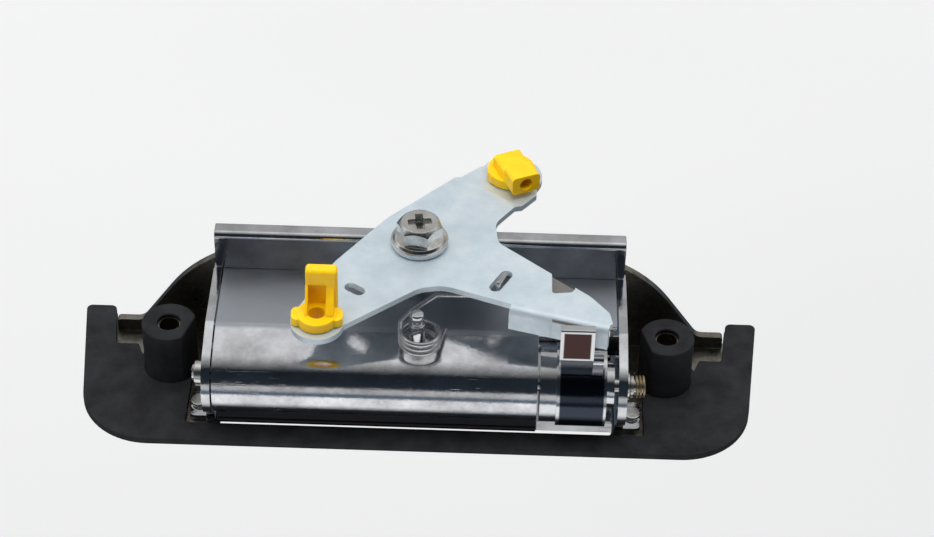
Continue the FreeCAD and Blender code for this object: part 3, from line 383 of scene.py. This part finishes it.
FINISHES = {
    "polished_chrome": finish(
        "polished chrome", light=(0.80, 0.81, 0.84), dark=(0.55, 0.55, 0.56), metallic=1.0,
        smooth=0.06, worn=0.15, cloud_scale=110.0, pit_scale=1000.0, bump=0.45, scratches=0.6,
        relief=0.07),
    "rough_chrome": finish(
        "plated casting", light=(0.40, 0.39, 0.34), dark=(0.17, 0.15, 0.12), metallic=1.0,
        smooth=0.22, worn=0.42, cloud_scale=180.0, pit_scale=1400.0, bump=0.6, scratches=0.5,
        relief=0.2),
    "zinc_plate": finish(
        "zinc plating", light=(0.70, 0.78, 0.83), dark=(0.55, 0.64, 0.70), metallic=0.50,
        smooth=0.30, worn=0.46, cloud_scale=120.0, pit_scale=1800.0, bump=0.25, scratches=0.8),
    "screw_steel": finish(
        "bright zinc screw", light=(0.86, 0.86, 0.84), dark=(0.62, 0.61, 0.58), metallic=1.0,
        smooth=0.16, worn=0.30, cloud_scale=260.0, pit_scale=1800.0, bump=0.2, scratches=0.5),
    "spring_steel": finish(
        "drawn spring wire", light=(0.82, 0.83, 0.84), dark=(0.55, 0.55, 0.55), metallic=1.0,
        smooth=0.22, worn=0.38, cloud_scale=400.0, pit_scale=2200.0, bump=0.2, scratches=0.8),
    "brass_wire": finish(
        "dull brass wire", light=(0.70, 0.56, 0.32), dark=(0.40, 0.30, 0.16), metallic=1.0,
        smooth=0.30, worn=0.45, cloud_scale=500.0, pit_scale=2200.0, bump=0.2, scratches=0.4),
    "bush_bronze": finish(
        "sintered bronze", light=(0.55, 0.42, 0.24), dark=(0.34, 0.25, 0.14), metallic=1.0,
        smooth=0.42, worn=0.55, cloud_scale=700.0, pit_scale=3000.0, bump=0.5, scratches=0.2),
    "steel_insert": finish(
        "passivated insert", light=(0.50, 0.47, 0.40), dark=(0.28, 0.25, 0.20), metallic=1.0,
        smooth=0.30, worn=0.45, cloud_scale=300.0, pit_scale=2200.0, bump=0.4, scratches=0.3),
    "black_rubber": finish(
        "black rubber", light=(0.020, 0.021, 0.024), dark=(0.010, 0.010, 0.012), metallic=0.0,
        smooth=0.62, worn=0.74, cloud_scale=140.0, pit_scale=2400.0, bump=0.45, scratches=0.6,
        relief=0.08, shader_inputs={"Specular IOR Level": 0.32}),
    "stop_rubber": finish(
        "stop rubber", light=(0.030, 0.030, 0.030), dark=(0.018, 0.018, 0.018), metallic=0.0,
        smooth=0.60, worn=0.72, cloud_scale=300.0, pit_scale=2400.0, bump=0.4, scratches=0.2),
    "yellow_nylon": finish(
        "yellow nylon", light=(0.97, 0.63, 0.003), dark=(0.92, 0.53, 0.002), metallic=0.0,
        smooth=0.40, worn=0.50, cloud_scale=220.0, pit_scale=2600.0, bump=0.25, scratches=0.15,
        shader_inputs={"Subsurface Weight": 0.25, "Subsurface Radius": (0.0014, 0.0008, 0.0002),
                       "Subsurface Scale": 1.0}),
}

# Parts whose slot's finish changes from one place to another; on the flap and the bell crank the dark boxes
# are painted shade and painted dark reflections.
OWN_FINISH = {
    "flap": finish(
        "polished chrome with painted shade and dark reflections", light=(0.78, 0.80, 0.83), dark=(0.62, 0.62, 0.62),
        metallic=1.0, smooth=0.07, worn=0.16, cloud_scale=85.0, pit_scale=1100.0, bump=0.4,
        scratches=0.4, relief=0.08,
        # painted shade: the dark gap below the barrel, painted onto the flap; this box also darkens a strip
        # of the flap's front along its upper edge
        patches=({"x": (-60.0, 30.4), "y": (-2.0, 12.0), "tint": (0.020, 0.020, 0.024)},
                 # painted dark reflection on the hub drum
                 {"x": (35.3, 46.3), "y": (2.4, 21.5), "tint": (0.045, 0.055, 0.075)},
                 # painted dark reflection on the lug face
                 {"x": (35.5, 42.3), "y": (28.9, 37.3), "tint": (0.060, 0.034, 0.030)})),
    "rear_cup": finish(
        "pressed and plated sheet", light=(0.82, 0.83, 0.86), dark=(0.50, 0.50, 0.52),
        metallic=1.0, smooth=0.07, worn=0.17, cloud_scale=130.0, pit_scale=1000.0, bump=0.5,
        scratches=0.8, relief=0.08,
        patches=({"x": (-60.0, 60.0), "y": (22.9, 24.5), "tint": (0.60, 0.63, 0.68), "matt": 0.38},)),
    "bell_crank": finish(
        "zinc plating, bent and pressed, painted shade in dimple", light=(0.70, 0.78, 0.83), dark=(0.55, 0.64, 0.70),
        metallic=0.50, smooth=0.30, worn=0.46, cloud_scale=120.0, pit_scale=1800.0, bump=0.25,
        scratches=0.8,
        # painted shade in the pressed dimple at the crank's edge
        patches=({"x": (32.6, 40.0), "y": (35.2, 36.1), "tint": (0.20, 0.19, 0.18)},)),
}


# ---------------------------------------------------------------- parts with rounded edges

SAME_POINT = 0.000002           # corners nearer than this are one corner
FLAT_ANGLE = radians(1.0)       # facets that meet flatter than this become one face
ROUNDED_ANGLE = radians(38)     # edges sharper than this are rounded
SMOOTH_ANGLE = radians(32)      # edges flatter than this are shaded smooth
ROUNDING_STEPS = 2

# Width of the rounding on each part, in millimetres. The parts left out keep their own shape.
ROUNDED = {
    "gasket": 0.35, "bezel": 0.5, "left_sleeve": 0.6, "right_sleeve": 0.6,
    "rear_cup": 0.3, "cup_rail": 0.35, "left_end_plate": 0.3, "right_end_plate": 0.3,
    "left_rivet": 0.5, "right_rivet": 0.5, "pivot_pin": 0.4, "pin_washer": 0.2, "pin_retainer": 0.35,
    "flap": 0.35, "bell_crank": 0.28, "crank_post": 0.3, "crank_washer": 0.2, "crank_screw": 0.22,
    "spring_stud": 0.2, "left_rod_clip": 0.4, "right_rod_clip": 0.4,
}


def take_copy(node):
    """A merged copy of a CAD part, alone and selected, at the origin."""
    bpy.ops.object.select_all(action="DESELECT")
    source = frame["nodes"][node]
    source.select_set(True)
    bpy.context.view_layer.objects.active = source
    bpy.ops.object.duplicate()
    piece = bpy.context.object
    piece.parent = None
    piece.matrix_world = Matrix.Identity(4)
    piece.name = node + "_finished"
    bpy.ops.object.mode_set(mode="EDIT")
    bpy.ops.mesh.select_all(action="SELECT")
    bpy.ops.mesh.remove_doubles(threshold=SAME_POINT)
    bpy.ops.mesh.dissolve_limited(angle_limit=FLAT_ANGLE)
    bpy.ops.object.mode_set(mode="OBJECT")
    return piece


def apply_all(piece):
    """Turns the piece's modifiers into plain mesh."""
    for modifier in list(piece.modifiers):
        bpy.ops.object.modifier_apply(modifier=modifier.name)


def soften(node, width):
    """Rounds the part's sharp edges by a width in millimetres, so that they catch the light."""
    piece = take_copy(node)
    rounding = piece.modifiers.new("edge rounding", "BEVEL")
    rounding.width = width * MM
    rounding.segments = ROUNDING_STEPS
    rounding.limit_method = "ANGLE"
    rounding.angle_limit = ROUNDED_ANGLE
    rounding.use_clamp_overlap = True
    apply_all(piece)
    bpy.ops.object.shade_smooth_by_angle(angle=SMOOTH_ANGLE)
    piece.modifiers.new("flat faces stay flat", "WEIGHTED_NORMAL").keep_sharp = True
    apply_all(piece)
    stand_in(piece, node)


def stand_in(piece, node):
    """The piece takes the CAD part's place, finish and motion."""
    slot = slot_of_node[node]
    piece.data.materials.clear()
    piece.data.materials.append(OWN_FINISH.get(node, FINISHES[slot]))
    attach(piece, body_of_node[node])
    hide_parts(node)


def paint(node):
    """The CAD part keeps its shape and gets its finish."""
    part = frame["nodes"][node]
    for slot in part.material_slots:
        slot.link = "OBJECT"
        slot.material = FINISHES[slot_of_node[node]]


# ---------------------------------------------------------------- the whole scene

camera()
floor()
studio_world()
for lamp_settings in SOFTBOXES:
    softbox(**lamp_settings)
bpy.context.scene.view_settings.view_transform = "Standard"

for node_name in frame["nodes"]:
    if node_name in ROUNDED:
        soften(node_name, ROUNDED[node_name])
    else:
        paint(node_name)
